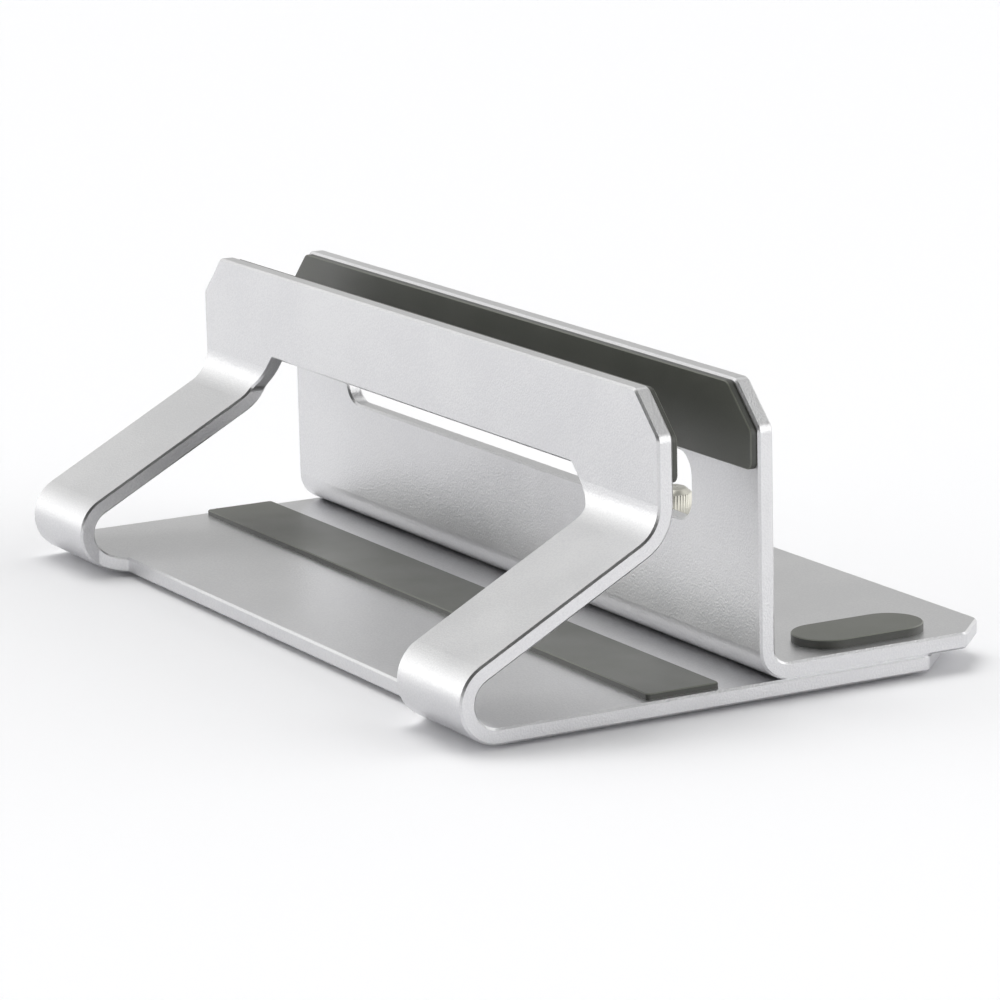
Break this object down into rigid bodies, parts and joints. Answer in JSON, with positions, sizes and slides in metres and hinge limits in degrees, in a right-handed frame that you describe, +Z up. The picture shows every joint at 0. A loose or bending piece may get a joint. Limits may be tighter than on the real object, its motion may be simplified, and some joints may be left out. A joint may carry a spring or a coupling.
{
  "type": "vertical laptop stand",
  "caption": "Low desk stand of folded aluminium sheet that holds a closed laptop on edge between two padded walls; a thumb screw clamps the sliding rear wall.",
  "frame": {"origin": "middle of the footprint, on the desk", "axes": "+X along the stand, to the right as seen from the front panel; +Y from the front panel to the rear wall; +Z up"},
  "size_m": [0.2, 0.1244, 0.0647],
  "materials": {
    "anodised_aluminium": "bead blasted and clear anodised, satin",
    "silicone": "matt warm grey silicone",
    "plated_steel": "nickel plated, knurled head"
  },
  "bodies": {
    "front_stand": {"front_bracket": "anodised_aluminium", "front_wall_pad": "silicone", "base_pad": "silicone", "desk_pad_front_left": "silicone", "desk_pad_front_right": "silicone", "desk_pad_rear_left": "silicone", "desk_pad_rear_right": "silicone", "clamp_nut": "plated_steel"},
    "rear_stand": {"rear_bracket": "anodised_aluminium", "rear_wall_pad": "silicone", "foot_pad_left": "silicone", "foot_pad_right": "silicone"},
    "clamp_washer": {"washer": "plated_steel"},
    "clamp_screw": {"thumb_screw": "plated_steel"}
  },
  "joints": [
    {"name": "gap_slide", "type": "slide", "parent": "front_stand", "child": "rear_stand", "axis": [0, 1, 0], "range_m": [-0.009, 0.009]},
    {"name": "screw_lift", "type": "slide", "parent": "front_stand", "child": "clamp_washer", "axis": [0, 0, 1], "range_m": [0, 0.0014]},
    {"name": "screw_turn", "type": "hinge", "parent": "clamp_washer", "child": "clamp_screw", "pos_m": [0, 0.0448, 0.015], "axis": [0, 0, 1], "range_deg": [0, 720]}
  ],
  "couplings": [
    {"joint": "screw_turn", "follows": "screw_lift", "rad_per_m": 8976}
  ]
}
